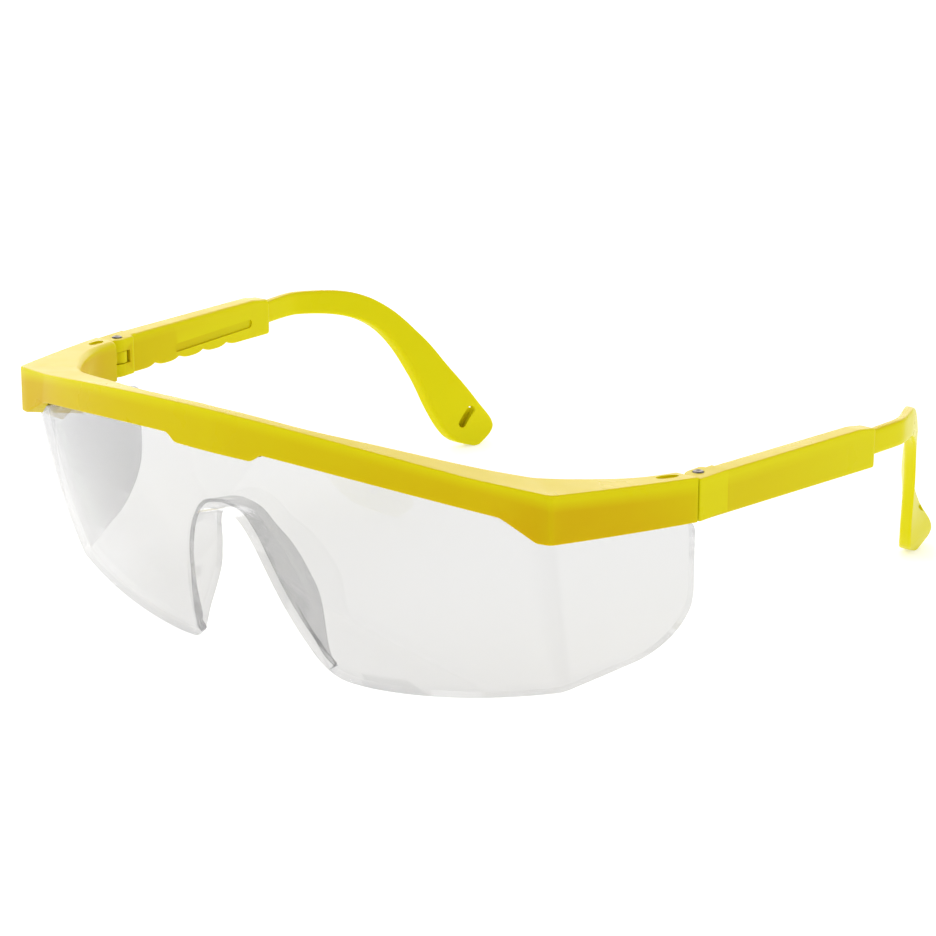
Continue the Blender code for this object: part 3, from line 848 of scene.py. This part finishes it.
def groove_shape():
    """The sheet along which the lens's top edge stands in the bar, up to a gap above it."""
    columns = []
    for x in spread(0.0, 69.0, 30):
        columns.append(([], column(lambda h: (x, lens_y(x, h), h), GROOVE_LOW_Z,
                                   bar_top(x) - LENS_DEPTH_IN_BAR + GAP, GROOVE_ROWS)))
    columns.append(([], column(before_crease, GROOVE_LOW_Z,
                               bar_top(BAR_AT_CREASE_X) - LENS_DEPTH_IN_BAR + GAP, GROOVE_ROWS)))
    for t in (CREASE_ROUND / SHIELD_LENGTH, 0.1, 0.2, 0.3, 0.38, 0.46):
        top = inside_side_arm(min(t, 0.38)) + GAP
        columns.append(([], column(lambda h: shield_point(t, h), GROOVE_LOW_Z, top, GROOVE_ROWS)))
    return sheet([front for flange, front in both_halves(columns)])


def groove_mesh():
    groove = new_object("groove", facing_front(new_mesh("groove", *groove_shape())))
    thicken(groove, LENS_THICK + 2 * GAP, -LENS_THICK / (LENS_THICK + 2 * GAP))
    freeze(groove)
    mesh = groove.data
    bpy.data.objects.remove(groove)
    return mesh


def knuckle_tools(side):
    """The knuckle that stands out of a side arm's end, its bore, and the dimple ahead of it."""
    pin = (side * PIN_XY[0], PIN_XY[1])
    low, high = sorted(pin[0] + side * edge for edge in KNUCKLE_WEB)
    web = box_shape((low, SIDE_END_Y - 1.0, KNUCKLE_Z[0]), (high, pin[1], KNUCKLE_Z[1]))
    boss = rod_shape(KNUCKLE_RADIUS, *KNUCKLE_Z, at=pin)
    bore = rod_shape(PIN_RADIUS + GAP, KNUCKLE_Z[0] - 1.0, KNUCKLE_Z[1] + 1.0, at=pin)
    x, y, length, width, depth, turn = DIMPLE
    top = CORNER_Z[1] - SIDE_FALL[1] * y
    dimple = rod_shape(width, top - depth, top + 2.0, (side * x, y), 32, length / width,
                       side * radians(turn))
    return [("UNION", new_mesh("web", *web)), ("UNION", new_mesh("boss", *boss)),
            ("DIFFERENCE", new_mesh("bore", *bore)), ("DIFFERENCE", new_mesh("dimple", *dimple))]


def make_brow_frame(material):
    bar = new_object("brow_bar", new_mesh("brow_bar", *loft(bar_sections())))
    carve(bar, [("DIFFERENCE", groove_mesh())] + knuckle_tools(1) + knuckle_tools(-1))
    shade(bar)
    finish_piece(bar, "front", "yellow_nylon", material, "brow_frame")


def make_pin(side, name, material):
    """A turned pin with a rounded rim and a shallow dished end."""
    rings = [(r, PIN_HIGH - d) for r, d in PIN_PROFILE]
    rings += [(r, PIN_LOW + d) for r, d in reversed(PIN_PROFILE)]
    sections = []
    for radius, z in rings:
        radius = max(radius, 0.02)
        sections.append([(side * PIN_XY[0] + radius * cos(2 * pi * i / PIN_SIDES),
                          PIN_XY[1] + radius * sin(2 * pi * i / PIN_SIDES), z)
                         for i in range(PIN_SIDES)])
    pin = new_object("pin_" + name, new_mesh("pin_" + name, *loft(sections)))
    shade(pin, 50.0)
    finish_piece(pin, "front", "dark_steel", material, "hinge_pin_" + name)


# Temples ----------------------------------------------------------------------

def temple_place(side):
    """Where a point of the temple's own frame is in the glasses' frame, in metres."""
    def at(point):
        x, y, z = point
        across = PIN_XY[0] + x * cos(HINGE_TURN) + y * sin(HINGE_TURN)
        back = PIN_XY[1] + y * cos(HINGE_TURN) - x * sin(HINGE_TURN)
        return world((side * across, back, z))
    return at


def sleeve_levels(y):
    t = (y - SLEEVE_START) / (SLEEVE_END - SLEEVE_START)
    top = mix(*SLEEVE_TOP, t)
    top -= SLEEVE_BEVEL[1] * smoothstep((y - SLEEVE_END + SLEEVE_BEVEL[0]) / SLEEVE_BEVEL[0])
    return top, mix(*SLEEVE_BOTTOM, t)


def lobe_rise(y):
    """How far the inner half of the lower edge rises into the nicks between its lobes."""
    turns = (y - SCALLOP_FROM) / SCALLOP_PITCH
    if turns < -0.5 or turns > SCALLOPS - 0.5:
        return 0.0
    nearest = abs(turns - round(turns)) * 2.0
    return SCALLOP_RISE * (1.0 - nearest) ** 3


def sleeve_section(y):
    top, bottom = sleeve_levels(y)
    half = mix(*SLEEVE_HALF, max(0.0, y) / SLEEVE_END)
    left = SLEEVE_MID_X - half
    right = SLEEVE_MID_X + half
    lobe = bottom + lobe_rise(y)
    corners = [(left, y, lobe), (left, y, top), (right, y, top), (right, y, bottom),
               (SLEEVE_MID_X + LOBE_STEP, y, bottom), (SLEEVE_MID_X - LOBE_STEP, y, lobe)]
    return rounded(corners, SLEEVE_RADII)


def sleeve_sections():
    sections = [sleeve_section(y) for y in spread(0.2, SLEEVE_END - SLEEVE_RIM[0][0], 130)]
    for back, inset in SLEEVE_RIM:
        section = shrunk(sleeve_section(SLEEVE_END - back), inset)
        for point in section:
            point.y = SLEEVE_END - back
        sections.append(section)
    return sections


def head_outline():
    """Outline in (x, y) of the head: square outside, round inside, running into the sleeve."""
    right = SLEEVE_MID_X + SLEEVE_HALF[0]
    left = SLEEVE_MID_X - SLEEVE_HALF[0] + 0.1
    points = [(right, HEAD_END + 2.0), (right, SLEEVE_START + 0.35),
              (right - 0.1, SLEEVE_START + 0.1), (right - 0.35, SLEEVE_START)]
    for i in range(17):
        angle = radians(mix(270.0, 180.0, i / 16))
        points.append((HEAD_HALF * cos(angle), -SLEEVE_START * sin(angle)))
    points += [(-HEAD_HALF, HEAD_END - 0.4), (-HEAD_HALF + 0.12, HEAD_END - 0.1),
               (-HEAD_HALF + 0.4, HEAD_END + 0.1), (left, HEAD_END + 0.3), (left, HEAD_END + 2.0)]
    return points


def head_shape():
    """The forked head's block, with rounded upper and lower edges."""
    top, bottom = sleeve_levels(0.0)
    outline = head_outline()
    sections = []
    for z, inset in ((bottom, 0.45), (bottom + 0.13, 0.13), (bottom + 0.45, 0.0), (top - 0.45, 0.0),
                     (top - 0.13, 0.13), (top, 0.45)):
        section = []
        for x, y in outline:
            inner = (mix(x, SLEEVE_MID_X, inset / 3.4), mix(y, 1.0, inset / 4.5) if y < 4.0 else y)
            section.append((*inner, z))
        sections.append(section)
    return loft(sections)


def stadium(low, high, radius, steps=8):
    """Outline in (y, z) of a slot with round ends between two points."""
    low = Vector(low)
    high = Vector(high)
    way = (high - low).normalized()
    across = Vector((-way.y, way.x))
    outline = []
    for centre, start in ((low, 90.0), (high, -90.0)):
        for i in range(steps + 1):
            angle = radians(start + 180.0 * i / steps)
            outline.append(centre + radius * (cos(angle) * way + sin(angle) * across))
    return outline


def bend(y):
    return level(ARM_BEND, y)


def sleeve_tools(at):
    """The head, the slot for the knuckle, the pin's hole, the arm's room and the window."""
    left = SLEEVE_MID_X - CAVITY_HALF
    right = SLEEVE_MID_X + CAVITY_HALF
    ahead = box_shape((-6.0, -6.0, EAR_GAP_Z[0]), (KNUCKLE_WEB[1] + 0.5, 0.0, EAR_GAP_Z[1]))
    inward = box_shape((-6.0, -1.0, EAR_GAP_Z[0]), (0.0, -KNUCKLE_WEB[0] + 0.2, EAR_GAP_Z[1]))
    boss = rod_shape(KNUCKLE_RADIUS + 0.13, *EAR_GAP_Z)
    hole = rod_shape(PIN_RADIUS + 0.12, 35.0, 55.0)
    room = box_shape((left, CAVITY_START, CAVITY_Z[0]), (right, SLEEVE_END + 5.0, CAVITY_Z[1]))
    middle = (WINDOW_Z[0] + WINDOW_Z[1]) / 2
    radius = (WINDOW_Z[1] - WINDOW_Z[0]) / 2
    outline = stadium((WINDOW_Y[0] + radius, middle), (WINDOW_Y[1] - radius, middle), radius)
    floor_x = SLEEVE_MID_X - SLEEVE_HALF[0] + WINDOW_DEPTH
    window = loft([[(x, p.x, p.y) for p in outline] for x in (-8.0, floor_x)])
    shapes = [("UNION", head_shape())]
    shapes += [("DIFFERENCE", shape) for shape in (ahead, inward, boss, hole, room, window)]
    return [(operation, new_mesh("tool", *shape, at=at)) for operation, shape in shapes]


def make_sleeve(side, name, material):
    at = temple_place(side)
    mesh = new_mesh("sleeve_" + name, *loft(sleeve_sections()), at=at)
    sleeve = new_object("sleeve_" + name, mesh)
    carve(sleeve, sleeve_tools(at))
    shade(sleeve)
    finish_piece(sleeve, "temple_" + name, "yellow_nylon", material, "temple_sleeve_" + name)


def arm_section(top, low, half):
    corners = []
    for x, (y, z) in ((-half, low), (-half, top), (half, top), (half, low)):
        corners.append((SLEEVE_MID_X + x + bend(y), y, z))
    return rounded(corners, (ARM_RADIUS,) * 4, 5)


def arm_sections():
    sections = [arm_section((TONGUE_START, ARM_TOP[0][1]), (TONGUE_START, ARM_LOW[0][1]),
                            ARM_HALF[0])]
    tops = smooth_path(ARM_TOP, 14)
    lows = smooth_path(ARM_LOW, 14)
    for top, low in zip(tops, lows):
        growth = smoothstep((top.x - ARM_PLAN[1][0]) / 30.0)
        sections.append(arm_section(top, low, mix(*ARM_HALF, growth)))
    return sections


def make_arm(side, name, material):
    at = temple_place(side)
    arm = new_object("ear_arm_" + name, new_mesh("ear_arm_" + name, *loft(arm_sections()), at=at))
    low, high, radius = CORD_SLOT
    middle = (low[0] + high[0]) / 2
    lean = bend(middle + 0.5) - bend(middle - 0.5)
    sections = []
    for depth, flare in CORD_FLARE:
        outline = stadium(low, high, radius + flare)
        sections.append([(SLEEVE_MID_X + bend(middle) + depth + lean * (p.x - middle),
                          p.x - lean * depth, p.y) for p in outline])
    slot = loft(sections)
    carve(arm, [("DIFFERENCE", new_mesh("slot", *slot, at=at))])
    shade(arm, 40.0)
    finish_piece(arm, "ear_arm_" + name, "yellow_nylon", material, "temple_arm_" + name)


# Studio -----------------------------------------------------------------------

def make_floor():
    corners = [(x * FLOOR_HALF, y * FLOOR_HALF, 0.0) for x, y in ((-1, -1), (1, -1), (1, 1), (-1, 1))]
    mesh = bpy.data.meshes.new("floor")
    mesh.from_pydata(corners, [], [(0, 1, 2, 3)])
    floor = new_object("floor", mesh)
    mesh.materials.append(pale_floor())


def add_light(name, place, size, power):
    data = bpy.data.lights.new(name, "AREA")
    data.shape = "RECTANGLE"
    data.size, data.size_y = size
    data.energy = power
    light = bpy.data.objects.new(name, data)
    light.location = place
    light.rotation_euler = (Vector(LIGHTS_AIM) - Vector(place)).to_track_quat("-Z", "Y").to_euler()
    bpy.context.scene.collection.objects.link(light)


def make_light():
    sky = bpy.data.worlds.new("studio")
    sky.use_nodes = True
    background = sky.node_tree.nodes["Background"]
    background.inputs["Color"].default_value = (1.0, 1.0, 1.0, 1.0)
    background.inputs["Strength"].default_value = SKY_STRENGTH
    bpy.context.scene.world = sky
    for softbox in SOFTBOXES:
        add_light(*softbox)


def make_camera():
    right = Vector((cos(CAMERA_TURN), sin(CAMERA_TURN), 0.0))
    back = Vector((sin(CAMERA_TURN) * cos(CAMERA_RISE), -cos(CAMERA_TURN) * cos(CAMERA_RISE),
                   sin(CAMERA_RISE)))
    up = back.cross(right)
    place = right * CAMERA_AIM[0] + up * CAMERA_AIM[1] + back * CAMERA_DISTANCE
    data = bpy.data.cameras.new("camera")
    data.lens = CAMERA_LENS
    data.sensor_width = SENSOR
    camera = bpy.data.objects.new("camera", data)
    turn = Matrix((right, up, back)).transposed().to_4x4()
    camera.matrix_world = Matrix.Translation(world(place)) @ turn
    bpy.context.scene.collection.objects.link(camera)
    bpy.context.scene.camera = camera


ARM_BEND = smooth_path(ARM_PLAN, 14)
bpy.context.scene.view_settings.view_transform = "Standard"
make_camera()
make_light()
make_floor()
# The bar's ramp paints shade (amber) at its front corners; the temples' ramp paints light (lime)
# towards the ears
bar_nylon = yellow_nylon("bar_nylon", (0.0, NYLON), (0.13, PAINTED_SHADE_AMBER), (0.3, PAINTED_SHADE_AMBER), (0.5, NYLON))
temple_nylon = yellow_nylon("temple_nylon", (0.5, NYLON), (1.0, LIME_FLOW_AND_PAINTED_LIGHT))
steel = dark_steel()
make_lens(clear_polycarbonate())
make_brow_frame(bar_nylon)
for side, name in ((1, "right"), (-1, "left")):
    make_pin(side, name, steel)
    make_sleeve(side, name, temple_nylon)
    make_arm(side, name, temple_nylon)
